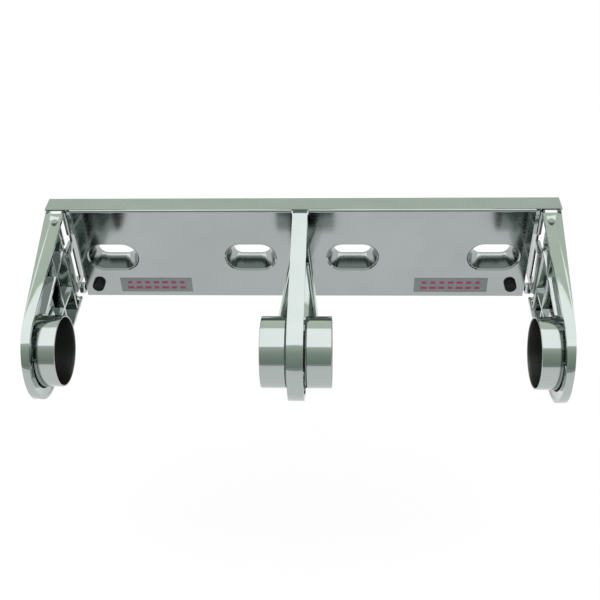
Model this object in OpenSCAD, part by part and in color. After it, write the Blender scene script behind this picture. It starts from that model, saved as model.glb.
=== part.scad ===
// Twin-roll tissue holder for a wall: a shallow pressed back box, two hinged end arms and a fixed
// centre arm, each carrying thin cups that go inside the roll cores. Two push buttons release the
// end arms. Origin: centre of the box on the wall plane. X right, Y into the wall, Z up.

/* [Back box] */
// overall width of the top flange
plate_w = 310; // [250:1:380]
// overall height of the box
plate_h = 67; // [60:0.5:81]
// how far the face stands off the wall
box_d = 13; // [11:0.1:20]
// sheet thickness of the box
sheet = 1.2; // [0.9:0.02:1.5]
// outer radius of the long bends
bend_r = 2; // [1.6:0.1:3]
// width left at each end of the face for the arm
end_w = 15.2; // [15:0.1:20]
// how far the flange edge lies behind the face where an arm meets it
flange_back = 1; // [0.6:0.1:2]

/* [Screw slots] */
// distance between the two inner slots
slot_inner = 63.4; // [55:0.1:80]
// distance of an outer slot's centre from the end of the face
slot_end = 21.4; // [18:0.1:30]
// height of the slot centres
slot_z = -1.8; // [-4:0.1:2]
// straight length of a slot between its round ends
slot_straight = 12; // [8:0.5:16]
// half height of a slot at the wall
slot_back_r = 5.5; // [4:0.1:7]
// half height of a slot at the face
slot_front_r = 9.6; // [8:0.1:10.5]
// size of the eased edge round a slot
slot_ease = 0.8; // [0.4:0.1:1]
// length of the straight lip of a slot at the wall
slot_lip = 1.6; // [1:0.1:3]

/* [Cups] */
// outside diameter of a cup
cup_d = 40.6; // [36:0.1:44]
// length of a cup
cup_l = 15; // [12:0.5:18]
// wall of a cup
cup_wall = 1; // [0.7:0.1:1.5]
// radius of the cup's closed corner
cup_corner = 1.5; // [1.4:0.1:4]
// distance of the cup centre from the wall
cup_out = 89.5; // [80:0.5:110]
// height of the cup centre
cup_z = -10.9; // [-16:0.1:-4]
// radius of the boss behind a cup
hub_r = 12; // [8:0.5:15]

/* [Arms] */
// how far the rounded nose of an arm reaches past the cup
nose_over = 7.2; // [5:0.1:11]
// gap between an arm's top edge and the top flange of the box
arm_top_gap = 0.3; // [0.2:0.1:2]
// how far an arm's lower edge hangs below the box at the face
arm_drop = 1; // [0.6:0.1:4]
// width of an end arm at the face, from its rim to its outer side
arm_w = 11.1; // [10.5:0.1:14]
// inward lean of the outer side of an end arm
arm_taper = 3.8; // [0:0.1:4.5]
// wall of an end arm on its outer side
arm_wall = 2.4; // [2:0.1:3]
// wall of an end arm behind its cup
cup_back = 2.4; // [2:0.1:4]
// room round a cup in its flat seat, for the wall of a roll core
seat_room = 1; // [0.8:0.1:2]
// thickness of the plate round the lower half of an end cup
cheek_t = 2; // [1:0.1:3]
// height above the cup's middle where that plate ends
cheek_up = 9; // [0:0.5:14]
// how far the ribs of an end arm stand back from its inner edge
rib_back = 0.6; // [0.4:0.1:2]
// how far an end arm's outer side stands in from the end of the flange
arm_inset = 0.5; // [0.3:0.1:1.5]
// thickness of the rim that runs round an arm
rim_t = 2; // [1.5:0.1:3]
// thickness of the ribs inside an end arm
rib_t = 1.6; // [1.2:0.1:2.5]
// gap between the face and the back of an end arm
arm_gap = 0.8; // [0.7:0.1:1.5]
// thickness of the back wall of an end arm
back_t = 2; // [1.5:0.1:2.4]
// length of an end arm's outer side behind the face
tail = 4; // [2:0.1:5]
// distance of the cross rib of an end arm ahead of the face
rib_out = 32; // [28:0.5:40]
// gap between a shelf of an end arm and the ear below it
shelf_gap = 3.3; // [2:0.1:5]
// room round the bracket and its ears in an end arm
swing_room = 0.8; // [0.6:0.1:1.2]

/* [Centre arm] */
// width of the centre arm's rim
centre_w = 9; // [7:0.1:11]
// how far a centre cup stands off the side of the rim
centre_pad = 0.3; // [0.2:0.1:2]
// gap round the centre arm in the upper bend
notch_gap = 0.4; // [0.3:0.1:1.5]
// thickness of the centre arm's web
web_t = 2.4; // [2:0.1:4]
// width of the flared trough at the face
flare_back = 10.4; // [9:0.1:14]
// width of the flared trough near the cups
flare_front = 24; // [16:0.5:30]
// wall of the flared trough
flare_t = 1.6; // [1.2:0.1:2.2]
// depth of the flared trough
flare_deep = 12; // [8:0.5:16]
// height of the flared trough at the face
flare_z = 6; // [0:0.5:12]
// gap between the flared trough and the cups
flare_gap = 1.2; // [0.6:0.1:3]

/* [Hinges] */
// diameter of a hinge pin
pin_d = 4; // [3:0.1:4.8]
// distance of a hinge pin from the end of the box
pin_in = 7.5; // [7.4:0.1:8]
// distance of a hinge pin ahead of the face
pin_out = 7.6; // [7.4:0.1:9]
// radial clearance of a pin in its ears
pin_fit = 0.05; // [0.02:0.01:0.09]
// wall of an ear round its pin
ear_wall = 1.4; // [1:0.1:1.4]
// height of an ear
ear_h = 4.2; // [3:0.1:6]
// distance of the upper ear from the top of the box
ear_high_down = 27.1; // [22:0.1:30]
// distance of the lower ear from the bottom of the box
ear_low_up = 11.6; // [9:0.1:15]
// thickness of a hinge bracket
bracket_t = 1.5; // [1:0.1:2]
// gap between a bracket and the inner edge of its arm
bracket_gap = 0.4; // [0.3:0.1:1]
// height of the rolled front edge of a bracket
bar_h = 16.5; // [10:0.5:20]
// length of the tab welded behind the face
tab_l = 5; // [3:0.1:8]

/* [Latches] */
// distance of a button from the end of the face
button_end = 8.9; // [8:0.1:12]
// distance of a button from the bottom of the box
button_up = 10.5; // [9:0.1:14]
// diameter of a button
button_d = 7.4; // [6:0.1:8.9]
// how far a pressed button still stands out of the face
button_rest = 0.5; // [0.2:0.1:2]
// radial clearance of a button in its hole
button_fit = 0.07; // [0.03:0.01:0.09]
// travel of a button
button_travel = 3; // [2:0.1:3.2]
// distance of a latch pivot from the end of the face
pivot_end = 27.8; // [22:0.1:32]
// distance of a latch pivot behind its lever
pivot_back = 2.6; // [2.3:0.1:3]
// diameter of a latch pivot rivet
pivot_d = 3; // [2.5:0.1:4]
// radial clearance of a latch on its rivet
pivot_fit = 0.06; // [0.02:0.01:0.09]
// thickness of a latch lever
latch_t = 1; // [0.8:0.1:1.2]
// height of a latch lever
latch_h = 14; // [10:0.5:15]
// height of the tongue at a lever's end
tongue_h = 6; // [4:0.5:8]
// width of the tongue
tongue_w = 3.8; // [2:0.1:4.5]
// gap between the end of the face and the tongue
tongue_gap = 1.2; // [0.8:0.1:2]
// gap between the tongue and the arm's back wall at the face
tongue_short = 0.3; // [0.2:0.1:0.6]
// length of a latch's foot on the lower flange
foot_l = 9; // [8:0.5:14]
// gap between a latch's foot and the wall
foot_wall = 2; // [0.5:0.1:2.2]

/* [Labels] */
// length of a label
label_l = 46; // [30:1:50]
// height of a label
label_h = 11; // [8:0.5:14]
// thickness of a label
label_t = 0.2; // [0.1:0.05:0.4]
// distance of a label's middle from the end of the face
label_end = 46.1; // [42:0.1:55]
// distance of a label's middle from the bottom of the box
label_up = 9.9; // [8:0.1:14]

/* [Fasteners] */
// shank diameter of a cup rivet
rivet_d = 5; // [3:0.1:6]
// head diameter of a cup rivet
rivet_head_d = 9; // [7:0.1:12]
// head height of a cup rivet
rivet_head_h = 1.8; // [1:0.1:3]
// shank diameter of a centre arm screw
screw_d = 3; // [2.5:0.1:3.6]
// head diameter of a centre arm screw
screw_head_d = 6; // [5:0.1:8]
// head height of a centre arm screw
screw_head_h = 1.8; // [1:0.1:3]
// length of a screw in its boss
screw_in = 8; // [5:0.5:9]
// length of a screw boss ahead of the face
boss_l = 11; // [10:0.5:16]
// distance of the lower screw from the bottom of the box
screw_up = 9.5; // [8:0.5:14]
// distance of the upper screw from the top of the box
screw_down = 17.5; // [14:0.5:22]
// radial clearance of a fixed shank in its hole
shank_fit = 0.05; // [0.02:0.01:0.2]

/* [Hidden] */
$fn = 96;
cut = 0.5;
// small step that makes two tangent outlines cross
graze = 0.02;
touch = 0.05;
half_w = plate_w / 2;
half_h = plate_h / 2;
face_x = half_w - end_w;
flange_under = half_h - sheet;
sheet_back_y = sheet - box_d;

slot_outer = 2 * (face_x - slot_end);
screw_heights = [screw_up - half_h, half_h - screw_down];

cup_r = cup_d / 2;
nose_r = cup_r + nose_over;
reach = cup_out - box_d;
arm_top = flange_under - arm_top_gap;
arm_foot = -half_h - arm_drop;
arm_out_x = half_w - arm_inset;
arm_in_x = arm_out_x - arm_w;
arm_back_y = -(box_d + arm_gap);
arm_side_at_cup = arm_out_x - reach * tan(arm_taper);
seat_x = arm_side_at_cup - cup_back;
rivet_sunk = 0.7 * cup_back;
centre_seat = centre_w / 2 + centre_pad;

pin_x = half_w - pin_in;
pin_y = -(box_d + pin_out);
ear_r = pin_d / 2 + ear_wall;
ear_high = half_h - ear_high_down;
ear_low = ear_low_up - half_h;
bracket_x = arm_in_x - bracket_gap;

button_x = face_x - button_end;
button_z = button_up - half_h;
button_out = button_travel + button_rest;
collar_t = 0.8;
collar_w = 1.2;
nub_l = 1.2;
part_gap = 0.1;
collar_y = sheet_back_y + part_gap;
latch_y = collar_y + collar_t + nub_l + part_gap;
pivot_x = face_x - pivot_end;
pivot_y = -(latch_y + latch_t + pivot_back);
label_x = face_x - label_end;
label_z = label_up - half_h;

// directions of the upper and lower edges of an arm, both tangent to the nose
top_rise = atan2(arm_top - cup_z, reach) - asin(nose_r / norm([reach, arm_top - cup_z]));
foot_rise = atan2(arm_foot - cup_z, reach) + asin(nose_r / norm([reach, arm_foot - cup_z]));
top_n = [-sin(top_rise), cos(top_rise)];
foot_n = [sin(foot_rise), -cos(foot_rise)];
nose_c = [-cup_out, cup_z];

function top_at(y, inset) = nose_c[1] + (nose_r - inset) * top_n[1]
    + (y - nose_c[0] - (nose_r - inset) * top_n[0]) * tan(top_rise);
function foot_at(y, inset) = nose_c[1] + (nose_r - inset) * foot_n[1]
    + (y - nose_c[0] - (nose_r - inset) * foot_n[0]) * tan(foot_rise);

steel = [0.78, 0.79, 0.8];
zinc = [0.72, 0.74, 0.75];
rubber = [0.06, 0.06, 0.07];
film = [0.7, 0.72, 0.73];

// turns an outline drawn in Y and Z into a solid from x0 to x1
module along_x(x0, x1) {
    translate([x0, 0, 0])
        rotate([90, 0, 90])
            linear_extrude(height = x1 - x0)
                children();
}

// turns a solid drawn upward so that it points away from the wall
module outward() {
    rotate([90, 0, 0])
        children();
}

module other_side() {
    mirror([1, 0, 0])
        children();
}

// ---- back box ----

module box_outline(inset) {
    r = bend_r - inset;
    h = half_h - inset;
    translate([-box_d + bend_r, -h])
        square([box_d, 2 * h]);
    translate([inset - box_d, -h + r])
        square([box_d, 2 * (h - r)]);
    for (side = [-1, 1])
        translate([-box_d + bend_r, side * (h - r)])
            circle(r = r);
}

module face_channel() {
    intersection() {
        along_x(-face_x, face_x)
            difference() {
                box_outline(0);
                box_outline(sheet);
            }
        translate([-half_w, -box_d - cut, -half_h - cut])
            cube([plate_w, box_d + cut, plate_h + 2 * cut]);
    }
}

// straight lip from y0 to the end of the lip, then a funnel that opens towards y1
module slot_solid(back_r, front_r, y0, y1) {
    rise = (front_r - back_r) / (box_d - slot_lip);
    r1 = back_r - rise * (y1 + slot_lip);
    for (side = [-1, 1])
        translate([side * slot_straight / 2, 0, 0]) {
            translate([0, y0, 0])
                outward()
                    cylinder(h = y0 + slot_lip, r = back_r);
            translate([0, -slot_lip, 0])
                outward()
                    cylinder(h = -slot_lip - y1, r1 = back_r, r2 = r1);
        }
    along_x(-slot_straight / 2, slot_straight / 2)
        polygon([[y0, -back_r], [y0, back_r], [-slot_lip, back_r], [y1, r1], [y1, -r1],
            [-slot_lip, -back_r]]);
}

module slot_ease_cut() {
    for (side = [-1, 1])
        translate([side * slot_straight / 2, slot_ease - box_d, 0])
            outward()
                cylinder(h = 2 * slot_ease, r1 = slot_front_r - touch,
                    r2 = slot_front_r - touch + 2 * slot_ease);
    along_x(-slot_straight / 2, slot_straight / 2)
        polygon([[slot_ease - box_d, touch - slot_front_r], [slot_ease - box_d, slot_front_r - touch],
            [-slot_ease - box_d, slot_front_r - touch + 2 * slot_ease],
            [-slot_ease - box_d, touch - slot_front_r - 2 * slot_ease]]);
}

module at_slots() {
    for (x = [-slot_outer / 2, -slot_inner / 2, slot_inner / 2, slot_outer / 2])
        translate([x, 0, slot_z])
            children();
}

module back_plate() {
    notch_w = centre_w + 2 * notch_gap;
    notch_low = arm_top - rim_t - notch_gap;
    color(steel)
        difference() {
            union() {
                face_channel();
                translate([-half_w, flange_back - box_d, flange_under])
                    cube([plate_w, box_d - flange_back, sheet]);
                at_slots()
                    slot_solid(slot_back_r + sheet, slot_front_r + sheet, 0, sheet / 2 - box_d);
            }
            at_slots()
                slot_solid(slot_back_r, slot_front_r, cut, -box_d - cut);
            at_slots()
                slot_ease_cut();
            for (side = [-1, 1])
                translate([side * button_x, sheet_back_y + cut, button_z])
                    outward()
                        cylinder(h = sheet + 2 * cut, d = button_d + 2 * button_fit);
            for (side = [-1, 1])
                translate([side * pivot_x, -pivot_y, -half_h - cut])
                    cylinder(h = sheet + 2 * cut, d = pivot_d + 2 * shank_fit);
            // opening in the upper bend for the centre arm
            translate([-notch_w / 2, -box_d - cut, notch_low])
                cube([notch_w, cut + flange_back, plate_h]);
            translate([-notch_w / 2, -box_d - cut, notch_low])
                cube([notch_w, cut + bend_r, flange_under - notch_low]);
            for (z = screw_heights)
                translate([0, sheet_back_y + cut, z])
                    outward()
                        cylinder(h = sheet + 2 * cut, d = screw_d + 2 * shank_fit);
        }
}

// ---- centre arm ----

module arm_outline(inset, back_y) {
    r = nose_r - inset;
    translate(nose_c)
        circle(r = r);
    polygon([[back_y, top_at(back_y, inset)], nose_c + (r - graze) * top_n, nose_c,
        nose_c + (r - graze) * foot_n, [back_y, foot_at(back_y, inset)]]);
}

// open trough that widens from the face towards the cups, tilted from the face to the cup centre
module flared_trough() {
    far = cup_out - cup_r - flare_gap;
    drop = atan2(flare_z - cup_z, reach);
    run = (far - box_d) / cos(drop);
    intersection() {
        translate([0, -box_d, flare_z + flare_t / 2])
            rotate([drop, 0, 0])
                difference() {
                    trough_block(0, run, -flare_deep, 0);
                    trough_block(flare_t, run - flare_t, -flare_deep + flare_t, cut);
                }
        translate([-flare_front, -box_d - cup_out, -plate_h])
            cube([2 * flare_front, cup_out, 2 * plate_h]);
    }
}

// the trough's outline, moved in by inset, from z0 to z1
module trough_block(inset, run, z0, z1) {
    back = flare_back / 2 - inset;
    front = flare_front / 2 - inset;
    translate([0, 0, z0])
        linear_extrude(height = z1 - z0)
            polygon([[-back, cut], [back, cut], [front, -run], [-front, -run]]);
}

module centre_arm() {
    half = centre_w / 2;
    tongue_l = box_d / 3;
    boss_wall = 2;
    color(zinc)
        difference() {
            union() {
                along_x(-half, half)
                    difference() {
                        arm_outline(0, -box_d);
                        arm_outline(rim_t, -box_d - rim_t);
                    }
                along_x(-web_t / 2, web_t / 2)
                    arm_outline(rim_t / 2, -box_d - rim_t / 2);
                translate([-centre_seat, -cup_out, cup_z])
                    rotate([0, 90, 0])
                        cylinder(h = 2 * centre_seat, r = hub_r);
                flared_trough();
                // tongue through the upper bend of the box
                translate([-half, -box_d - 1, arm_top - rim_t])
                    cube([centre_w, 1 + tongue_l, rim_t - part_gap]);
                for (z = screw_heights)
                    translate([0, -box_d, z])
                        outward()
                            cylinder(h = boss_l, d = screw_d + 2 * boss_wall);
            }
            translate([-centre_w, -cup_out, cup_z])
                rotate([0, 90, 0])
                    cylinder(h = 2 * centre_w, d = rivet_d + 2 * shank_fit);
            for (z = screw_heights)
                translate([0, cut - box_d, z])
                    outward()
                        cylinder(h = screw_in + 1 + cut, d = screw_d + 2 * shank_fit);
        }
}

module centre_arm_screws() {
    color(steel)
        for (z = screw_heights)
            translate([0, sheet_back_y + screw_head_h, z])
                outward() {
                    cylinder(h = screw_head_h, d = screw_head_d);
                    cylinder(h = screw_head_h + sheet + screw_in, d = screw_d);
                }
}

// ---- cups and their rivets ----

// closed end at the origin, open end towards +Z
module cup_shape() {
    rotate_extrude()
        difference() {
            union() {
                square([cup_r - cup_corner, cup_l]);
                translate([0, cup_corner])
                    square([cup_r, cup_l - cup_corner]);
                translate([cup_r - cup_corner, cup_corner])
                    circle(r = cup_corner);
            }
            translate([-cut, -cut])
                square([cut + rivet_d / 2 + shank_fit, cup_l]);
            translate([-cut, cup_wall])
                square([cut + cup_r - cup_corner, cup_l]);
            translate([-cut, cup_corner])
                square([cut + cup_r - cup_wall, cup_l]);
            translate([cup_r - cup_corner, cup_corner])
                circle(r = cup_corner - cup_wall);
            translate([-2 * cup_r, -cut])
                square([2 * cup_r, 2 * cup_l]);
        }
}

module cup_at(x) {
    color(steel)
        translate([x, -cup_out, cup_z])
            rotate([0, -90, 0])
                cup_shape();
}

module cup_right() {
    cup_at(seat_x);
}

module cup_left() {
    other_side()
        cup_right();
}

module centre_cup_left() {
    cup_at(-centre_seat);
}

module centre_cup_right() {
    other_side()
        centre_cup_left();
}

// domed head with its flat side at the origin, dome towards +Z
module rivet_head() {
    ball = (rivet_head_d * rivet_head_d / 4 + rivet_head_h * rivet_head_h) / (2 * rivet_head_h);
    intersection() {
        translate([0, 0, rivet_head_h - ball])
            sphere(r = ball);
        cylinder(h = rivet_head_h + cut, d = rivet_head_d + cut);
    }
}

module centre_cup_rivet() {
    inside = centre_seat + cup_wall;
    color(steel)
        translate([0, -cup_out, cup_z]) {
            translate([-inside - touch, 0, 0])
                rotate([0, 90, 0])
                    cylinder(h = 2 * (inside + touch), d = rivet_d);
            for (side = [-1, 1])
                translate([side * inside, 0, 0])
                    rotate([0, side * 90, 0])
                        rivet_head();
        }
}

module cup_rivet_right() {
    color(steel)
        translate([seat_x - cup_wall, -cup_out, cup_z]) {
            rotate([0, -90, 0])
                rivet_head();
            translate([-touch, 0, 0])
                rotate([0, 90, 0])
                    cylinder(h = cup_wall + rivet_sunk + touch, d = rivet_d);
        }
}

module cup_rivet_left() {
    other_side()
        cup_rivet_right();
}

// ---- end arms ----

// everything on the inner side of the arm's leaning side, moved in by shift
module inside_lean(shift) {
    deep = 200;
    translate([arm_out_x - shift, -box_d, 0])
        rotate([0, 0, -arm_taper])
            translate([-deep, -deep, -deep / 2])
                cube([deep, 2 * deep, deep]);
}

module arm_right() {
    past = half_w + 5;
    pocket_y = arm_back_y - back_t;
    room_low = foot_at(arm_back_y, rim_t);
    room_high = top_at(arm_back_y, rim_t) - swing_room;
    color(zinc)
        difference() {
            union() {
                difference() {
                    intersection() {
                        along_x(arm_in_x, past)
                            arm_outline(0, tail - box_d);
                        inside_lean(0);
                    }
                    intersection() {
                        along_x(arm_in_x - cut, past)
                            arm_outline(rim_t, pocket_y);
                        inside_lean(arm_wall);
                    }
                    // behind the back wall only the outer side goes on
                    intersection() {
                        translate([arm_in_x - cut, arm_back_y, -plate_h])
                            cube([arm_w, box_d + cut, 2 * plate_h]);
                        inside_lean(arm_wall);
                    }
                }
                arm_ribs();
                arm_cheek();
                intersection() {
                    translate([seat_x, -cup_out, cup_z])
                        rotate([0, 90, 0])
                            cylinder(h = arm_w, r = hub_r);
                    inside_lean(cup_back / 3);
                }
            }
            // clear of the top flange of the box
            translate([arm_in_x - cut, -box_d, arm_top - part_gap])
                cube([arm_w + 2, box_d, plate_h]);
            // room for the bracket beside the back wall, and for its ears
            translate([arm_in_x - cut, pocket_y - cut, room_low])
                cube([pin_x - 1 - arm_in_x + cut, back_t + 2 * cut, room_high - room_low]);
            for (z = [ear_high, ear_low])
                translate([arm_in_x - cut, pocket_y - cut, z - ear_h / 2 - swing_room])
                    cube([pin_x + 3 - arm_in_x + cut, back_t + 2 * cut, ear_h + 2 * swing_room]);
            translate([pin_x, pin_y, -plate_h])
                cylinder(h = 2 * plate_h, d = pin_d + 2 * shank_fit);
            // flat seat of the cup, and the hole for its rivet
            translate([arm_in_x - cut, -cup_out, cup_z])
                rotate([0, 90, 0])
                    cylinder(h = seat_x - arm_in_x + cut, r = cup_r + seat_room);
            translate([seat_x - cut, -cup_out, cup_z])
                rotate([0, 90, 0])
                    cylinder(h = cut + rivet_sunk + part_gap, d = rivet_d + 2 * shank_fit);
        }
}

// flat inner side of the nose, round the lower half of the cup
module arm_cheek() {
    intersection() {
        along_x(arm_in_x + rib_back / 2, arm_in_x + rib_back / 2 + cheek_t)
            arm_outline(rim_t / 2, -cup_out + cup_r + 2 * seat_room);
        translate([arm_in_x, -2 * cup_out, -2 * plate_h])
            cube([arm_w, 2 * cup_out, 2 * plate_h + cup_z + cheek_up]);
        inside_lean(0);
    }
}

// shelves and cross ribs in the hollow of the arm
module arm_ribs() {
    rib_x = arm_in_x + rib_back;
    shelf_y = pin_y - ear_r - 1;
    intersection() {
        union() {
            // upper shelf, from beside the pin towards the nose
            along_x(rib_x, half_w)
                translate([shelf_y, ear_high + ear_h / 2 + shelf_gap + rib_t])
                    rotate(top_rise)
                        translate([-cup_out, -rib_t])
                            square([cup_out, rib_t]);
            // lower shelf
            along_x(rib_x, half_w)
                translate([-cup_out, ear_low + ear_h / 2 + shelf_gap])
                    square([cup_out + shelf_y, rib_t]);
            // cross ribs
            for (y = [shelf_y, -box_d - rib_out])
                along_x(rib_x, half_w)
                    translate([y - rib_t, -plate_h])
                        square([rib_t, 2 * plate_h]);
        }
        along_x(rib_x - cut, half_w + 5)
            arm_outline(rim_t / 2, arm_back_y - back_t / 2);
        inside_lean(arm_wall / 2);
        difference() {
            inside_lean(0);
            along_x(arm_in_x - cut, half_w + 5)
                translate(nose_c)
                    circle(r = cup_r + seat_room);
        }
    }
}

module arm_left() {
    other_side()
        arm_right();
}

module pin_right() {
    proud = 0.35;
    low = foot_at(pin_y, 0) - proud;
    high = top_at(pin_y, 0) + proud;
    color(steel)
        translate([pin_x, pin_y, low])
            cylinder(h = high - low, d = pin_d);
}

module pin_left() {
    other_side()
        pin_right();
}

// ---- hinge brackets ----

module bracket_right() {
    low = ear_low - ear_h / 2;
    bar_low = half_h - bend_r - bar_h;
    tab_x = face_x - tab_l;
    web_y = 2 * bracket_t - box_d;
    color(steel)
        difference() {
            union() {
                // web from the wall to the face
                translate([bracket_x, web_y, low])
                    cube([bracket_t, -web_y, flange_under - low]);
                // tab welded to the back of the face
                translate([tab_x, sheet_back_y, bar_low])
                    cube([bracket_x + bracket_t - tab_x, bracket_t, bar_h]);
                // rolled front edge
                translate([bracket_x, bracket_t - box_d, bar_low])
                    cube([bracket_t, 2 * bracket_t, bar_h]);
                translate([bracket_x + bracket_t / 2, bracket_t - box_d, bar_low])
                    cylinder(h = bar_h, r = bracket_t);
                // plate between the two ears
                translate([bracket_x, pin_y - ear_r, ear_low])
                    cube([bracket_t, 2 * ear_r - swing_room / 2, ear_high - ear_low]);
                for (z = [ear_high, ear_low]) {
                    translate([pin_x, pin_y, z - ear_h / 2])
                        cylinder(h = ear_h, r = ear_r);
                    translate([bracket_x, pin_y, z - ear_h / 2])
                        cube([pin_x - ear_r / 2 - bracket_x, web_y + 1 - pin_y, ear_h]);
                }
            }
            translate([pin_x, pin_y, -plate_h])
                cylinder(h = 2 * plate_h, d = pin_d + 2 * pin_fit);
        }
}

module bracket_left() {
    other_side()
        bracket_right();
}

// ---- buttons and latches ----

module button_right() {
    ease = 0.8;
    tip = button_out + sheet + part_gap;
    color(rubber)
        translate([button_x, collar_y, button_z]) {
            outward() {
                cylinder(h = tip - ease, d = button_d);
                translate([0, 0, tip - ease])
                    cylinder(h = ease, d1 = button_d, d2 = button_d - 2 * ease);
            }
            translate([0, collar_t, 0])
                outward()
                    cylinder(h = collar_t, d = button_d + 2 * collar_w);
            translate([0, collar_t + nub_l, 0])
                outward()
                    cylinder(h = nub_l + touch, d1 = 1.6, d2 = 3);
        }
}

module button_left() {
    other_side()
        button_right();
}

module latch_right() {
    foot_z = touch - flange_under;
    strip_x0 = pivot_x - foot_l / 2 + 0.5;
    strip_x1 = face_x - 1.5;
    tongue_x0 = face_x + tongue_gap;
    tongue_x1 = tongue_x0 + tongue_w;
    tongue_y = tongue_short - box_d;
    tongue_z = 1.3 - flange_under;
    color(steel)
        difference() {
            union() {
                translate([strip_x0, latch_y, foot_z])
                    cube([strip_x1 - strip_x0, latch_t, latch_h]);
                // tongue beside the end of the face
                translate([strip_x0, latch_y, tongue_z])
                    cube([tongue_x1 - strip_x0, latch_t, tongue_h]);
                translate([tongue_x0, tongue_y, tongue_z])
                    cube([tongue_w, latch_y + latch_t - tongue_y, tongue_h]);
                // foot on the lower flange
                translate([strip_x0, latch_y, foot_z])
                    cube([foot_l, -foot_wall - latch_y, latch_t]);
            }
            translate([pivot_x, -pivot_y, -plate_h])
                cylinder(h = plate_h, d = pivot_d + 2 * pivot_fit);
        }
}

module latch_left() {
    other_side()
        latch_right();
}

module latch_rivet_right() {
    head_h = 0.9;
    head_r = pivot_d / 2 + 0.9;
    upper = -flange_under + latch_t + 2 * touch;
    color(steel)
        translate([pivot_x, -pivot_y, 0]) {
            translate([0, 0, -half_h - head_h])
                cylinder(h = upper + half_h + head_h + head_h, d = pivot_d);
            translate([0, 0, -half_h - head_h])
                cylinder(h = head_h, r1 = head_r - 0.5, r2 = head_r);
            translate([0, 0, upper])
                cylinder(h = head_h, r1 = head_r, r2 = head_r - 0.5);
        }
}

module latch_rivet_left() {
    other_side()
        latch_rivet_right();
}

// ---- labels ----

module label_right() {
    color(film)
        translate([label_x - label_l / 2, -box_d - label_t, label_z - label_h / 2])
            cube([label_l, label_t, label_h]);
}

module label_left() {
    other_side()
        label_right();
}

back_plate();
centre_arm();
centre_arm_screws();
centre_cup_left();
centre_cup_right();
centre_cup_rivet();
bracket_left();
bracket_right();
arm_left();
arm_right();
pin_left();
pin_right();
cup_left();
cup_right();
cup_rivet_left();
cup_rivet_right();
button_left();
button_right();
latch_left();
latch_right();
latch_rivet_left();
latch_rivet_right();
label_left();
label_right();
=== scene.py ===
# Bright-plated twin-roll tissue holder, a wall piece with two swinging end arms and a fixed centre arm.
import math

import bmesh
import bpy
from mathutils import Matrix, Vector


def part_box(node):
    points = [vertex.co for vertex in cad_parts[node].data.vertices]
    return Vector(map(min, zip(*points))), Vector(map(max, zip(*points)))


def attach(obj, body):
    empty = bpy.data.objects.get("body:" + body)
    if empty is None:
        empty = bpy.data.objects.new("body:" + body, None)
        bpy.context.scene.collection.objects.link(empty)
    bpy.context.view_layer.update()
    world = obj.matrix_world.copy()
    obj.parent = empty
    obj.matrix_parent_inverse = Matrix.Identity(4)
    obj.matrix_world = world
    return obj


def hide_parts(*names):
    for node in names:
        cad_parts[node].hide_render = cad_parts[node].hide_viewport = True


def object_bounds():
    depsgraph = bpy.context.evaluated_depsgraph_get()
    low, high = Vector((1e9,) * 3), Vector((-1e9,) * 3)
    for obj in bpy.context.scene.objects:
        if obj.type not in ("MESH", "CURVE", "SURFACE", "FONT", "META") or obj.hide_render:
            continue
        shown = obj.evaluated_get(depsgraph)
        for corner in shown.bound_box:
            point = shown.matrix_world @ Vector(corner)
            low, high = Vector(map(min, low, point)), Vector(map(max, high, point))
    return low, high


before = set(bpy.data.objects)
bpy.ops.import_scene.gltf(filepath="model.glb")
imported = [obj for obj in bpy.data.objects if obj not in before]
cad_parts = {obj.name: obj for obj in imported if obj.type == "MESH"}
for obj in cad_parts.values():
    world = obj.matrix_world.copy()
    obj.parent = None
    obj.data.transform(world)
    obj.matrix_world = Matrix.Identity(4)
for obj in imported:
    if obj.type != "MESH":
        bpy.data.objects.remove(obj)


def plainBox(bounds):
    return [[float(v) for v in corner] for corner in bounds]


cadBox = plainBox(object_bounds())
print("frame loaded")

# ---- camera ----

cameraLook = {
    "place": (0.02535, -0.45733, 0.33118),  # metres, in the holder's own frame
    "right": (0.9989, 0.0379, -0.0283),
    "up": (-0.0023, 0.6371, 0.7708),
    "forward": (-0.0472, 0.7698, -0.6365),
    "lens": 53.56,
    "sensor": 36,
    "nearest": 0.01,
}


def makeCamera(look):
    data = bpy.data.cameras.new("holderCamera")
    data.lens = look["lens"]
    data.sensor_width = look["sensor"]
    data.clip_start = look["nearest"]
    camera = bpy.data.objects.new("holderCamera", data)
    bpy.context.scene.collection.objects.link(camera)
    right, up = Vector(look["right"]).normalized(), Vector(look["up"]).normalized()
    back = right.cross(up).normalized()
    up = back.cross(right)
    turn = Matrix((right, up, back)).transposed()
    camera.matrix_world = Matrix.Translation(look["place"]) @ turn.to_4x4()
    bpy.context.scene.camera = camera


makeCamera(cameraLook)

# ---- node helpers ----


def newMaterial(name):
    material = bpy.data.materials.new(name)
    material.use_nodes = True
    material.node_tree.nodes.clear()
    return material


def addNode(tree, kind, place=(0, 0), **values):
    made = tree.nodes.new(kind)
    made.location = place
    for key, value in values.items():
        if hasattr(made, key):
            setattr(made, key, value)
        else:
            made.inputs[key.replace("_", " ")].default_value = value
    return made


def join(tree, source, target):
    tree.links.new(source, target)


def ramp(tree, source, stops, place=(0, 0)):
    made = tree.nodes.new("ShaderNodeValToRGB")
    made.location = place
    line = made.color_ramp
    while len(line.elements) < len(stops):
        line.elements.new(0.5)
    for element, (where, level) in zip(line.elements, stops):
        element.position = where
        element.color = level if len(level) == 4 else (*level, 1)
    join(tree, source, made.inputs["Fac"])
    return made.outputs["Color"]


def grey(level):
    return (level, level, level, 1)


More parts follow.
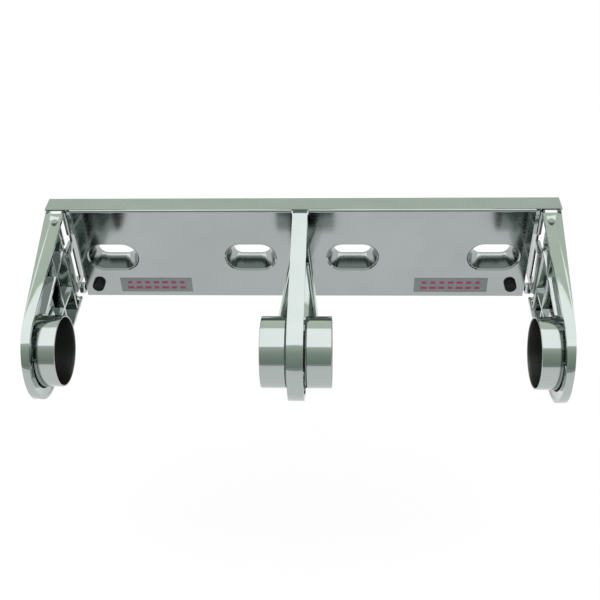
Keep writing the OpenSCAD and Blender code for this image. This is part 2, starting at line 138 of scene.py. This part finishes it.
def newGroup(name, inputs, outputs):
    tree = bpy.data.node_groups.new(name, "ShaderNodeTree")
    for label, value in inputs:
        socket = tree.interface.new_socket(name=label, in_out="INPUT", socket_type="NodeSocketFloat")
        socket.default_value = value
    for label, kind in outputs:
        tree.interface.new_socket(name=label, in_out="OUTPUT", socket_type=kind)
    return tree, addNode(tree, "NodeGroupInput", (-900, 0)), addNode(tree, "NodeGroupOutput", (700, 0))


def placeGroup(tree, group, place=(0, 0), **values):
    made = tree.nodes.new("ShaderNodeGroup")
    made.node_tree = group
    made.location = place
    for key, value in values.items():
        made.inputs[key].default_value = value
    return made


# ---- effects that several finishes share ----


def makePolishGrain():
    # long fine lines left by polishing, along X, Y or Z by the three stretch inputs
    tree, start, end = newGroup(
        "polishGrain",
        [("fineX", 20), ("fineY", 400), ("fineZ", 2600)],
        [("lines", "NodeSocketFloat"), ("clouds", "NodeSocketFloat")],
    )
    coords = addNode(tree, "ShaderNodeTexCoord", (-900, 300))
    size = addNode(tree, "ShaderNodeCombineXYZ", (-700, 0))
    for axis, key in zip("XYZ", ("fineX", "fineY", "fineZ")):
        join(tree, start.outputs[key], size.inputs[axis])
    stretched = addNode(tree, "ShaderNodeVectorMath", (-500, 200), operation="MULTIPLY")
    join(tree, coords.outputs["Object"], stretched.inputs[0])
    join(tree, size.outputs[0], stretched.inputs[1])
    lines = addNode(tree, "ShaderNodeTexNoise", (-250, 200), Scale=1.0, Detail=4.0, Roughness=0.6)
    join(tree, stretched.outputs[0], lines.inputs["Vector"])
    clouds = addNode(tree, "ShaderNodeTexNoise", (-250, -100), Scale=24.0, Detail=3.0, Roughness=0.55)
    join(tree, coords.outputs["Object"], clouds.inputs["Vector"])
    join(tree, lines.outputs["Fac"], end.inputs["lines"])
    join(tree, clouds.outputs["Fac"], end.inputs["clouds"])
    return tree


def makeHandling():
    # scattered fine marks and a thin settled dust that thickens on faces that look up
    tree, start, end = newGroup(
        "handling",
        [("markSize", 260), ("dustAmount", 0.3)],
        [("marks", "NodeSocketFloat"), ("dust", "NodeSocketFloat")],
    )
    coords = addNode(tree, "ShaderNodeTexCoord", (-900, 300))
    cells = addNode(tree, "ShaderNodeTexVoronoi", (-500, 250), feature="DISTANCE_TO_EDGE")
    join(tree, coords.outputs["Object"], cells.inputs["Vector"])
    join(tree, start.outputs["markSize"], cells.inputs["Scale"])
    marks = ramp(tree, cells.outputs["Distance"], [(0.0, grey(1)), (0.02, grey(0))], (-250, 250))
    patches = addNode(tree, "ShaderNodeTexNoise", (-500, 0), Scale=55.0, Detail=4.0)
    join(tree, coords.outputs["Object"], patches.inputs["Vector"])
    few = ramp(tree, patches.outputs["Fac"], [(0.55, grey(0)), (0.72, grey(1))], (-250, 0))
    kept = addNode(tree, "ShaderNodeMath", (100, 200), operation="MULTIPLY")
    join(tree, marks, kept.inputs[0])
    join(tree, few, kept.inputs[1])
    facing = addNode(tree, "ShaderNodeNewGeometry", (-700, -250))
    upward = addNode(tree, "ShaderNodeSeparateXYZ", (-500, -250))
    join(tree, facing.outputs["Normal"], upward.inputs[0])
    level = ramp(tree, upward.outputs["Z"], [(0.55, grey(0)), (1.0, grey(1))], (-300, -250))
    speckle = addNode(tree, "ShaderNodeTexNoise", (-500, -450), Scale=900.0, Detail=2.0)
    join(tree, coords.outputs["Object"], speckle.inputs["Vector"])
    grains = ramp(tree, speckle.outputs["Fac"], [(0.5, grey(0)), (0.7, grey(1))], (-250, -450))
    laid = addNode(tree, "ShaderNodeMath", (50, -300), operation="MULTIPLY")
    join(tree, level, laid.inputs[0])
    join(tree, grains, laid.inputs[1])
    thin = addNode(tree, "ShaderNodeMath", (300, -300), operation="MULTIPLY")
    join(tree, laid.outputs[0], thin.inputs[0])
    join(tree, start.outputs["dustAmount"], thin.inputs[1])
    join(tree, kept.outputs[0], end.inputs["marks"])
    join(tree, thin.outputs[0], end.inputs["dust"])
    return tree


polishGrain = makePolishGrain()
handling = makeHandling()


platingDetail = {
    "dust": (0.52, 0.52, 0.5, 1),
    "markRough": 0.12,  # how much rougher a mark is than the plating round it
    "lineDepth": 0.00006,
    "swellDepth": 0.0006,
}


def plated(name, look):
    # bright plating: one metal colour with a slow tint drift, polish lines, a few marks and a little dust
    material = newMaterial(name)
    tree = material.node_tree
    out = addNode(tree, "ShaderNodeOutputMaterial", (900, 0))
    metal = addNode(tree, "ShaderNodeBsdfPrincipled", (600, 0), Metallic=1.0)
    join(tree, metal.outputs[0], out.inputs[0])
    grain = placeGroup(tree, polishGrain, (-700, 200), **look["grain"])
    worn = placeGroup(tree, handling, (-700, -200), markSize=look["markSize"], dustAmount=look["dust"])
    tint = ramp(tree, grain.outputs["clouds"], [(0.35, look["dark"]), (0.65, look["light"])], (-400, 300))
    dusted = addNode(tree, "ShaderNodeMix", (100, 300), data_type="RGBA")
    join(tree, worn.outputs["dust"], dusted.inputs["Factor"])
    join(tree, tint, dusted.inputs["A"])
    dusted.inputs["B"].default_value = platingDetail["dust"]
    join(tree, dusted.outputs["Result"], metal.inputs["Base Color"])
    low, high = look["rough"]
    rough = ramp(tree, grain.outputs["lines"], [(0.3, grey(low)), (0.7, grey(high))], (-400, 0))
    marked = addNode(tree, "ShaderNodeMix", (100, 0), data_type="RGBA")
    join(tree, worn.outputs["marks"], marked.inputs["Factor"])
    join(tree, rough, marked.inputs["A"])
    marked.inputs["B"].default_value = grey(high + platingDetail["markRough"])
    join(tree, marked.outputs["Result"], metal.inputs["Roughness"])
    bump = addNode(tree, "ShaderNodeBump", (300, -250), Strength=look["bump"],
                   Distance=platingDetail["lineDepth"])
    join(tree, grain.outputs["lines"], bump.inputs["Height"])
    swell = addNode(tree, "ShaderNodeBump", (100, -450), Strength=look["swell"],
                    Distance=platingDetail["swellDepth"])
    join(tree, grain.outputs["clouds"], swell.inputs["Height"])
    join(tree, swell.outputs[0], bump.inputs["Normal"])
    join(tree, bump.outputs[0], metal.inputs["Normal"])
    return material


sheetLook = {
    "dark": (0.355, 0.385, 0.38), "light": (0.385, 0.415, 0.41), "rough": (0.085, 0.15), "bump": 0.12,
    "swell": 0.10, "markSize": 120, "dust": 0.25, "grain": {"fineX": 16, "fineY": 300, "fineZ": 1700},
}
castLook = {
    "dark": (0.40, 0.44, 0.425), "light": (0.43, 0.47, 0.455), "rough": (0.05, 0.09), "bump": 0.05,
    "swell": 0.22, "markSize": 150, "dust": 0.2, "grain": {"fineX": 300, "fineY": 40, "fineZ": 300},
}
cupLook = {
    "dark": (0.40, 0.44, 0.425), "light": (0.43, 0.465, 0.455), "rough": (0.055, 0.10), "bump": 0.06,
    "swell": 0.05, "markSize": 180, "dust": 0.15, "grain": {"fineX": 1500, "fineY": 30, "fineZ": 30},
}
# the cups' insides: the dark colour is painted shade in the hollow, the roughness a duller finish
cupShadedInsideLook = {
    "dark": (0.10, 0.104, 0.10), "light": (0.15, 0.155, 0.15), "rough": (0.34, 0.46), "bump": 0.12,
    "swell": 0.05, "markSize": 180, "dust": 0.1, "grain": {"fineX": 1800, "fineY": 25, "fineZ": 25},
}
steelLook = {
    "dark": (0.36, 0.375, 0.37), "light": (0.43, 0.44, 0.44), "rough": (0.18, 0.30), "bump": 0.15,
    "swell": 0.05, "markSize": 260, "dust": 0.2, "grain": {"fineX": 900, "fineY": 900, "fineZ": 900},
}
springLook = {
    "dark": (0.50, 0.53, 0.54), "light": (0.58, 0.61, 0.62), "rough": (0.12, 0.2), "bump": 0.1,
    "swell": 0.05, "markSize": 260, "dust": 0.1, "grain": {"fineX": 60, "fineY": 900, "fineZ": 1500},
}
sheetChrome = plated("sheetChrome", sheetLook)
castChrome = plated("castChrome", castLook)
cupChrome = plated("cupChrome", cupLook)
cupShadedInside = plated("cupShadedInside", cupShadedInsideLook)
plainSteel = plated("plainSteel", steelLook)
springSteel = plated("springSteel", springLook)


mouldedDetail = {
    "dust": (0.3, 0.3, 0.29, 1),
    "dustAmount": 0.3,
    "markSize": 500.0,
    "skinStrength": 0.2,
    "skinDepth": 0.00008,
}


def moulded(name, look):
    # plastic, film and ink: a fine skin and a little dust
    material = newMaterial(name)
    tree = material.node_tree
    out = addNode(tree, "ShaderNodeOutputMaterial", (700, 0))
    body = addNode(tree, "ShaderNodeBsdfPrincipled", (400, 0))
    body.inputs["Coat Weight"].default_value = look["gloss"]
    body.inputs["Specular IOR Level"].default_value = look["specular"]
    join(tree, body.outputs[0], out.inputs[0])
    coords = addNode(tree, "ShaderNodeTexCoord", (-700, 0))
    skin = addNode(tree, "ShaderNodeTexNoise", (-450, 0), Scale=look["grainSize"], Detail=3.0)
    join(tree, coords.outputs["Object"], skin.inputs["Vector"])
    worn = placeGroup(tree, handling, (-450, -300), markSize=mouldedDetail["markSize"],
                      dustAmount=mouldedDetail["dustAmount"])
    tint = ramp(tree, skin.outputs["Fac"], [(0.35, look["dark"]), (0.65, look["light"])], (-200, 200))
    dusted = addNode(tree, "ShaderNodeMix", (100, 200), data_type="RGBA")
    join(tree, worn.outputs["dust"], dusted.inputs["Factor"])
    join(tree, tint, dusted.inputs["A"])
    dusted.inputs["B"].default_value = mouldedDetail["dust"]
    join(tree, dusted.outputs["Result"], body.inputs["Base Color"])
    low, high = look["rough"]
    levels = ramp(tree, skin.outputs["Fac"], [(0.3, grey(low)), (0.7, grey(high))], (-200, -50))
    join(tree, levels, body.inputs["Roughness"])
    bump = addNode(tree, "ShaderNodeBump", (100, -300), Strength=mouldedDetail["skinStrength"],
                   Distance=mouldedDetail["skinDepth"])
    join(tree, skin.outputs["Fac"], bump.inputs["Height"])
    join(tree, bump.outputs[0], body.inputs["Normal"])
    return material


buttonLook = {
    "dark": (0.006, 0.006, 0.007), "light": (0.014, 0.014, 0.016), "rough": (0.5, 0.68),
    "grainSize": 1800.0, "gloss": 0.0, "specular": 0.22,
}
filmLook = {
    "dark": (0.30, 0.335, 0.33), "light": (0.345, 0.38, 0.375), "rough": (0.28, 0.42),
    "grainSize": 300.0, "gloss": 0.25, "specular": 0.5,
}
inkLook = {
    "dark": (0.42, 0.03, 0.14), "light": (0.55, 0.06, 0.2), "rough": (0.35, 0.5),
    "grainSize": 2500.0, "gloss": 0.0, "specular": 0.5,
}
buttonPlastic = moulded("buttonPlastic", buttonLook)
labelFilm = moulded("labelFilm", filmLook)
printRed = moulded("printRed", inkLook)
print("finishes made")

# ---- mesh helpers ----


def shadeByAngle(mesh, degrees):
    mesh.polygons.foreach_set("use_smooth", [True] * len(mesh.polygons))
    shape = bmesh.new()
    shape.from_mesh(mesh)
    for edge in shape.edges:
        edge.smooth = len(edge.link_faces) == 2 and edge.calc_face_angle(0.0) < math.radians(degrees)
    shape.to_mesh(mesh)
    shape.free()


easing = {
    "merge": 0.000004,  # metres
    "flat": 0.6,  # degrees, under which two faces are taken as one
    "sharp": 38,  # degrees, over which an edge is eased
    "smooth": 33,  # degrees, under which an edge is shaded smooth
    "segments": 2,
}


def softenedCopy(node, name, softness):
    # the node's own shape with its sharp edges eased, as on a polished casting
    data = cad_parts[node].data.copy()
    data.materials.clear()
    piece = bpy.data.objects.new(name, data)
    bpy.context.scene.collection.objects.link(piece)
    shape = bmesh.new()
    shape.from_mesh(data)
    bmesh.ops.remove_doubles(shape, verts=shape.verts, dist=easing["merge"])
    bmesh.ops.dissolve_degenerate(shape, edges=shape.edges, dist=easing["merge"])
    flat = math.radians(easing["flat"])
    bmesh.ops.dissolve_limit(shape, angle_limit=flat, verts=shape.verts, edges=shape.edges)
    shape.to_mesh(data)
    shape.free()
    ease = piece.modifiers.new("ease", "BEVEL")
    ease.width = softness
    ease.segments = easing["segments"]
    ease.limit_method = "ANGLE"
    ease.angle_limit = math.radians(easing["sharp"])
    ease.use_clamp_overlap = True
    ease.harden_normals = False
    settled = bpy.context.evaluated_depsgraph_get()
    finished = bpy.data.meshes.new_from_object(piece.evaluated_get(settled))
    piece.modifiers.clear()
    piece.data = finished
    finished.name = name
    shadeByAngle(finished, easing["smooth"])
    return piece


turnedSmooth = 40  # degrees, under which an edge of a turned piece is shaded smooth


def lathe(name, outline, centre, side, turns):
    # a closed outline of (along, radius) pairs, turned round a line that runs along X from centre
    mesh = bpy.data.meshes.new(name)
    shape = bmesh.new()
    rings = []
    for step in range(turns):
        angle = 2 * math.pi * step / turns
        rings.append([
            shape.verts.new((centre[0] + side * along, centre[1] + radius * math.cos(angle),
                             centre[2] + radius * math.sin(angle)))
            for along, radius in outline
        ])
    count = len(outline)
    for step in range(turns):
        here, there = rings[step], rings[(step + 1) % turns]
        for k in range(count):
            m = (k + 1) % count
            shape.faces.new((here[k], here[m], there[m], there[k]))
    bmesh.ops.remove_doubles(shape, verts=shape.verts, dist=1e-7)
    bmesh.ops.recalc_face_normals(shape, faces=shape.faces)
    shape.to_mesh(mesh)
    shape.free()
    shadeByAngle(mesh, turnedSmooth)
    piece = bpy.data.objects.new(name, mesh)
    bpy.context.scene.collection.objects.link(piece)
    return piece


def arc(centre, radius, start, stop, steps):
    return [
        (centre[0] + radius * math.cos(math.radians(start + (stop - start) * k / steps)),
         centre[1] + radius * math.sin(math.radians(start + (stop - start) * k / steps)))
        for k in range(steps + 1)
    ]


def finish(piece, material, body, slot, *nodes):
    piece.data.materials.clear()
    piece.data.materials.append(material)
    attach(piece, body)
    if nodes:
        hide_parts(*nodes)


def paintNode(node, material):
    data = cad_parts[node].data
    if not data.materials:
        data.materials.append(material)
    for k in range(len(data.materials)):
        data.materials[k] = material


# ---- the arms, brackets and latches: cast or pressed pieces with eased edges ----

easedPieces = {
    "centre_arm": ("centreArm", 0.0006, castChrome, "back", "plated_casting"),
    "arm_left": ("armLeft", 0.00055, castChrome, "left_arm", "plated_casting"),
    "arm_right": ("armRight", 0.00055, castChrome, "right_arm", "plated_casting"),
    "bracket_left": ("bracketLeft", 0.00025, sheetChrome, "back", "plated_sheet"),
    "bracket_right": ("bracketRight", 0.00025, sheetChrome, "back", "plated_sheet"),
    "latch_left": ("latchLeft", 0.0002, springSteel, "left_latch", "spring_steel"),
    "latch_right": ("latchRight", 0.0002, springSteel, "right_latch", "spring_steel"),
}
for node, (name, softness, material, body, slot) in easedPieces.items():
    finish(softenedCopy(node, name, softness), material, body, slot, node)
print("arms, brackets and latches eased")

# ---- cups: drawn, with a rounded closed corner and a small rolled rim ----

cupSizes = {
    "wall": 0.0010,
    "corner": 0.0015,  # outside radius where the side meets the closed end
    "rimRoll": 0.00048,  # how far behind the open end the rounding of the rim is centred
    "rivetHole": 0.00255,
    "rings": (0.35, 0.6, 0.85),  # shares of the length where the side has a ring
    "endRing": 0.55,  # share of the radius where the closed end has one
    # the two shares below bound the inside faces that get the painted shade
    "shadedDullWithin": 0.8,  # of the wall, inwards from the outside
    "shadedDullFrom": 0.6,  # of the wall, from the closed end
    "turns": 144,
}


def cupOutline(radius, length, sizes):
    # from the closed end at 0 to the open rim at length: outside first, then back along the inside
    wall, corner, roll = sizes["wall"], sizes["corner"], sizes["rimRoll"]
    outside = [(0.0, sizes["rivetHole"]), (0.0, radius * sizes["endRing"])]
    outside += [(corner + x, radius - corner + y) for x, y in arc((0, 0), corner, 180, 90, 10)]
    outside += [(length * share, radius) for share in sizes["rings"]]
    rim = [(length - roll + x, radius - wall / 2 + y) for x, y in arc((0, 0), wall / 2, 90, -90, 10)]
    inner = corner - wall
    back = [(length * share, radius - wall) for share in reversed(sizes["rings"])]
    back += [(corner + x, radius - corner + y) for x, y in arc((0, 0), inner, 90, 180, 8)]
    return outside + rim + back + [(wall, radius * sizes["endRing"]), (wall, sizes["rivetHole"])]


cups = {
    "cup_left": ("cupLeft", "left_arm", 1),
    "cup_right": ("cupRight", "right_arm", -1),
    "centre_cup_left": ("centreCupLeft", "back", -1),
    "centre_cup_right": ("centreCupRight", "back", 1),
}
for node, (name, body, side) in cups.items():
    low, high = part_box(node)
    middle = (low + high) / 2
    closedEnd = low.x if side > 0 else high.x
    outline = cupOutline((high.z - low.z) / 2, high.x - low.x, cupSizes)
    cup = lathe(name, outline, (closedEnd, middle.y, middle.z), side, cupSizes["turns"])
    finish(cup, cupChrome, body, "cup_metal", node)
    cup.data.materials.append(cupShadedInside)  # inside colour painted dark as shade in the hollow, with a rougher finish
    # faces inside the wall get the painted shade of the hollow
    for face in cup.data.polygons:
        along = (face.center.x - closedEnd) * side
        outward = math.hypot(face.center.y - middle.y, face.center.z - middle.z)
        insideWall = (high.z - low.z) / 2 - cupSizes["wall"] * cupSizes["shadedDullWithin"]
        face.material_index = int(outward < insideWall and along > cupSizes["wall"] * cupSizes["shadedDullFrom"])
print("cups turned")

# ---- buttons: moulded caps with a shallow dished end ----

buttonSizes = {
    "dish": 0.00035,  # depth of the hollow in the end
    "dishSteps": [(0.45, 0.9), (0.741, 0.1)],  # share of the radius, and share of the depth there
    "ease": 0.0007,
    "collarOut": 0.0012, "collarThick": 0.0008,
    "footLength": 0.0012, "footBase": 0.0015, "footTip": 0.0008,
    "turns": 72,
}


def makeButton(node, name, body, sizes):
    low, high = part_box(node)
    middle = (low + high) / 2
    wide = (high.x - low.x) / 2
    radius = wide - sizes["collarOut"]  # the part ahead of the collar
    frontY, collarY = low.y, high.y - sizes["footLength"]
    collarFront = collarY - sizes["collarThick"]
    ease, dish = sizes["ease"], sizes["dish"]
    outline = [(0.0, frontY + dish)]
    outline += [(radius * out, frontY + dish * deep) for out, deep in sizes["dishSteps"]]
    outline += [(radius - ease + x, frontY + ease - y) for x, y in arc((0, 0), ease, 90, 0, 6)]
    outline += [(radius, collarFront), (wide, collarFront), (wide, collarY), (sizes["footBase"], collarY)]
    outline += [(sizes["footTip"], high.y), (0.0, high.y)]
    mesh = bpy.data.meshes.new(name)
    shape = bmesh.new()
    turns = sizes["turns"]
    rings = []
    for step in range(turns):
        angle = 2 * math.pi * step / turns
        rings.append([
            shape.verts.new((middle.x + r * math.cos(angle), y, middle.z + r * math.sin(angle)))
            for r, y in outline
        ])
    for step in range(turns):
        here, there = rings[step], rings[(step + 1) % turns]
        for k in range(len(outline) - 1):
            shape.faces.new((here[k], here[k + 1], there[k + 1], there[k]))
    bmesh.ops.remove_doubles(shape, verts=shape.verts, dist=1e-6)
    bmesh.ops.recalc_face_normals(shape, faces=shape.faces)
    shape.to_mesh(mesh)
    shape.free()
    shadeByAngle(mesh, turnedSmooth)
    piece = bpy.data.objects.new(name, mesh)
    bpy.context.scene.collection.objects.link(piece)
    finish(piece, buttonPlastic, body, "button_plastic", node)


makeButton("button_left", "buttonLeft", "left_button", buttonSizes)
makeButton("button_right", "buttonRight", "right_button", buttonSizes)
print("buttons turned")

# ---- carried-over pieces ----

paintNode("back_plate", sheetChrome)
for node in ("centre_arm_screws", "pin_left", "pin_right", "latch_rivet_left", "latch_rivet_right"):
    paintNode(node, plainSteel)
# the rivets inside the cups take the same painted shade as the cups' insides
for node in ("centre_cup_rivet", "cup_rivet_left", "cup_rivet_right"):
    paintNode(node, cupShadedInside)
for node in ("label_left", "label_right"):
    paintNode(node, labelFilm)

# ---- print on the labels: plain dashes, no lettering ----

printSizes = {
    "rows": 2, "dashes": 7, "rowGap": 0.0042, "dashGap": 0.0056, "dashLength": 0.0046, "dashHeight": 0.0019,
    "shortest": 0.55, "raise": 0.00003, "seed": 4,
}


def makePrintTree():
    tree = bpy.data.node_groups.new("labelPrint", "GeometryNodeTree")
    face = tree.interface
    face.new_socket(name="Geometry", in_out="INPUT", socket_type="NodeSocketGeometry")
    for label, kind in (("rows", "Int"), ("dashes", "Int"), ("rowGap", "Float"), ("dashGap", "Float"),
                        ("dashLength", "Float"), ("dashHeight", "Float"), ("raise", "Float"),
                        ("shortest", "Float"), ("seed", "Int")):
        face.new_socket(name=label, in_out="INPUT", socket_type="NodeSocket" + kind)
    face.new_socket(name="centre", in_out="INPUT", socket_type="NodeSocketVector")
    face.new_socket(name="ink", in_out="INPUT", socket_type="NodeSocketMaterial")
    face.new_socket(name="Geometry", in_out="OUTPUT", socket_type="NodeSocketGeometry")
    start = addNode(tree, "NodeGroupInput", (-1200, 0))
    end = addNode(tree, "NodeGroupOutput", (1000, 0))

    def times(a, b, place):
        made = addNode(tree, "ShaderNodeMath", place, operation="MULTIPLY")
        join(tree, a, made.inputs[0])
        join(tree, b, made.inputs[1])
        return made.outputs[0]

    def lessOne(a, place):
        made = addNode(tree, "ShaderNodeMath", place, operation="SUBTRACT")
        join(tree, a, made.inputs[0])
        made.inputs[1].default_value = 1
        return made.outputs[0]

    wide = times(lessOne(start.outputs["dashes"], (-1000, 300)), start.outputs["dashGap"], (-800, 300))
    tall = times(lessOne(start.outputs["rows"], (-1000, 150)), start.outputs["rowGap"], (-800, 150))
    grid = addNode(tree, "GeometryNodeMeshGrid", (-550, 200))
    join(tree, wide, grid.inputs["Size X"])
    join(tree, tall, grid.inputs["Size Y"])
    join(tree, start.outputs["dashes"], grid.inputs["Vertices X"])
    join(tree, start.outputs["rows"], grid.inputs["Vertices Y"])
    stand = addNode(tree, "GeometryNodeTransform", (-350, 200))
    stand.inputs["Rotation"].default_value = (math.pi / 2, 0, 0)
    join(tree, grid.outputs["Mesh"], stand.inputs["Geometry"])
    join(tree, start.outputs["centre"], stand.inputs["Translation"])
    size = addNode(tree, "ShaderNodeCombineXYZ", (-550, -150))
    join(tree, start.outputs["dashLength"], size.inputs["X"])
    join(tree, start.outputs["raise"], size.inputs["Y"])
    join(tree, start.outputs["dashHeight"], size.inputs["Z"])
    dash = addNode(tree, "GeometryNodeMeshCube", (-350, -150))
    join(tree, size.outputs[0], dash.inputs["Size"])
    share = addNode(tree, "FunctionNodeRandomValue", (-350, -350), data_type="FLOAT")
    floats = [s for s in share.inputs if s.type == "VALUE"]
    join(tree, start.outputs["shortest"], floats[0])
    floats[1].default_value = 1.0
    join(tree, start.outputs["seed"], share.inputs["Seed"])
    scale = addNode(tree, "ShaderNodeCombineXYZ", (-100, -350), Y=1.0, Z=1.0)
    join(tree, [s for s in share.outputs if s.type == "VALUE"][0], scale.inputs["X"])
    spread = addNode(tree, "GeometryNodeInstanceOnPoints", (100, 100))
    join(tree, stand.outputs["Geometry"], spread.inputs["Points"])
    join(tree, dash.outputs["Mesh"], spread.inputs["Instance"])
    join(tree, scale.outputs[0], spread.inputs["Scale"])
    solid = addNode(tree, "GeometryNodeRealizeInstances", (350, 100))
    join(tree, spread.outputs[0], solid.inputs[0])
    inked = addNode(tree, "GeometryNodeSetMaterial", (600, 100))
    join(tree, solid.outputs[0], inked.inputs["Geometry"])
    join(tree, start.outputs["ink"], inked.inputs["Material"])
    join(tree, inked.outputs[0], end.inputs[0])
    return tree


def grown(tree, name, values):
    # runs a Geometry Nodes tree on an empty mesh and keeps the result as a plain mesh
    seedMesh = bpy.data.meshes.new(name)
    piece = bpy.data.objects.new(name, seedMesh)
    bpy.context.scene.collection.objects.link(piece)
    grower = piece.modifiers.new("grow", "NODES")
    grower.node_group = tree
    for item in tree.interface.items_tree:
        if item.item_type == "SOCKET" and item.in_out == "INPUT" and item.name in values:
            grower[item.identifier] = values[item.name]
    settled = bpy.context.evaluated_depsgraph_get()
    made = bpy.data.meshes.new_from_object(piece.evaluated_get(settled))
    piece.modifiers.clear()
    piece.data = made
    return piece


printTree = makePrintTree()
for node, name in (("label_left", "labelPrintLeft"), ("label_right", "labelPrintRight")):
    low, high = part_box(node)
    middle = (low + high) / 2
    values = dict(printSizes, centre=(middle.x, low.y - printSizes["raise"] / 2, middle.z), ink=printRed)
    dashes = grown(printTree, name, values)
    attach(dashes, "back")
print("labels printed")

# ---- studio ----

studio = {
    "floorDrop": 0.14,
    "world": 0.45,
    "floorHalf": 6,
    "floorShade": 0.36, "floorGlow": 0.76,  # as camera, glossy and transmission rays meet it
    "floorPale": 0.72,  # as every other ray meets it
    "overhead": 0.74,  # strength of the soft light above
    "overheadHeight": 1.5,
    "overheadFrom": -1.0, "overheadTo": 0.88, "overheadWidth": 3.4,
    "cardHalf": 3,
    "backCard": (0.86, 0.95, 0.83),
    "backCardAt": 1.6, "backCardTop": 2.9,
    "frontCardAt": -1.8, "frontCardFoot": -0.02, "frontCardTop": 2.7,
    # shades of the card in front, from its foot to its top
    "frontShades": [(0.0, (0.22, 0.26, 0.24)), (0.015, (0.22, 0.26, 0.24)), (0.03, (0.5, 0.56, 0.52)),
                    (0.07, (0.30, 0.36, 0.32)), (0.5, (0.44, 0.52, 0.44)), (1.0, (0.74, 0.8, 0.74))],
}


def lightPathWhite(tree, place=(-600, 300)):
    # 1 for camera, glossy and transmission rays
    path = addNode(tree, "ShaderNodeLightPath", place)
    first = addNode(tree, "ShaderNodeMath", (place[0] + 200, place[1]), operation="MAXIMUM")
    second = addNode(tree, "ShaderNodeMath", (place[0] + 400, place[1]), operation="MAXIMUM")
    join(tree, path.outputs["Is Camera Ray"], first.inputs[0])
    join(tree, path.outputs["Is Glossy Ray"], first.inputs[1])
    join(tree, first.outputs[0], second.inputs[0])
    join(tree, path.outputs["Is Transmission Ray"], second.inputs[1])
    return second.outputs[0]


def makeWorld(setup):
    world = bpy.data.worlds.new("studioWorld")
    world.use_nodes = True
    tree = world.node_tree
    tree.nodes.clear()
    out = addNode(tree, "ShaderNodeOutputWorld", (500, 0))
    seen = addNode(tree, "ShaderNodeBackground", (0, 100), Strength=1.0)
    felt = addNode(tree, "ShaderNodeBackground", (0, -100), Strength=setup["world"])
    for sky in (seen, felt):
        sky.inputs["Color"].default_value = grey(1.0)
    mix = addNode(tree, "ShaderNodeMixShader", (250, 0))
    join(tree, lightPathWhite(tree), mix.inputs["Fac"])
    join(tree, felt.outputs[0], mix.inputs[1])
    join(tree, seen.outputs[0], mix.inputs[2])
    join(tree, mix.outputs[0], out.inputs["Surface"])
    bpy.context.scene.world = world


def makePlane(name, corners, material):
    mesh = bpy.data.meshes.new(name)
    mesh.from_pydata(corners, [], [(0, 1, 2, 3)])
    mesh.materials.append(material)
    plane = bpy.data.objects.new(name, mesh)
    bpy.context.scene.collection.objects.link(plane)
    return plane


def makeFloor(setup, height):
    material = newMaterial("paleFloor")
    tree = material.node_tree
    out = addNode(tree, "ShaderNodeOutputMaterial", (600, 0))
    matte = addNode(tree, "ShaderNodeBsdfDiffuse", (0, 100))
    matte.inputs["Color"].default_value = grey(setup["floorShade"])
    glow = addNode(tree, "ShaderNodeEmission", (0, -100), Strength=setup["floorGlow"])
    glow.inputs["Color"].default_value = grey(1.0)
    both = addNode(tree, "ShaderNodeAddShader", (200, 0))
    join(tree, matte.outputs[0], both.inputs[0])
    join(tree, glow.outputs[0], both.inputs[1])
    pale = addNode(tree, "ShaderNodeBsdfDiffuse", (200, -200))
    pale.inputs["Color"].default_value = grey(setup["floorPale"])
    mix = addNode(tree, "ShaderNodeMixShader", (400, 0))
    join(tree, lightPathWhite(tree), mix.inputs["Fac"])
    join(tree, pale.outputs[0], mix.inputs[1])
    join(tree, both.outputs[0], mix.inputs[2])
    join(tree, mix.outputs[0], out.inputs["Surface"])
    half = setup["floorHalf"]
    makePlane("floor", [(x * half, y * half, height) for x, y in ((-1, -1), (1, -1), (1, 1), (-1, 1))], material)


def cardCorners(half, depth, foot, top):
    # a negative half turns the card's front the other way
    return [(-half, depth, foot), (half, depth, foot), (half, depth, top), (-half, depth, top)]


def makeCard(name, colour, corners):
    # a coloured card that only the metal mirrors
    material = newMaterial(name + "Paint")
    tree = material.node_tree
    out = addNode(tree, "ShaderNodeOutputMaterial", (300, 0))
    paint = addNode(tree, "ShaderNodeEmission", (0, 0), Strength=1.0)
    if isinstance(colour, list):
        coords = addNode(tree, "ShaderNodeTexCoord", (-900, 0))
        height = addNode(tree, "ShaderNodeSeparateXYZ", (-700, 0))
        join(tree, coords.outputs["Object"], height.inputs[0])
        share = addNode(tree, "ShaderNodeMapRange", (-500, 0))
        share.inputs["From Min"].default_value = corners[0][2]
        share.inputs["From Max"].default_value = corners[2][2]
        join(tree, height.outputs["Z"], share.inputs["Value"])
        join(tree, ramp(tree, share.outputs[0], colour, (-250, 0)), paint.inputs["Color"])
    else:
        paint.inputs["Color"].default_value = (*colour, 1)
    join(tree, paint.outputs[0], out.inputs["Surface"])
    card = makePlane(name, corners, material)
    card.visible_camera = False
    card.visible_shadow = False
    card.visible_diffuse = False


def makeOverhead(setup):
    depth = setup["overheadTo"] - setup["overheadFrom"]
    data = bpy.data.lights.new("overheadLight", "AREA")
    data.shape = "RECTANGLE"
    data.size = setup["overheadWidth"]
    data.size_y = depth
    data.energy = setup["overhead"] * math.pi * setup["overheadWidth"] * depth
    data.color = (0.985, 1.0, 1.0)
    light = bpy.data.objects.new("overheadLight", data)
    light.location = (0, (setup["overheadTo"] + setup["overheadFrom"]) / 2, setup["overheadHeight"])
    light.visible_camera = False
    bpy.context.scene.collection.objects.link(light)


floorHeight = cadBox[0][2] - studio["floorDrop"]
makeWorld(studio)
makeFloor(studio, floorHeight)
makeCard("backCard", studio["backCard"],
         cardCorners(studio["cardHalf"], studio["backCardAt"], floorHeight, studio["backCardTop"]))
makeCard("frontCard", studio["frontShades"],
         cardCorners(-studio["cardHalf"], studio["frontCardAt"], studio["frontCardFoot"], studio["frontCardTop"]))
makeOverhead(studio)
bpy.context.scene.view_settings.view_transform = "Standard"
print("studio set")
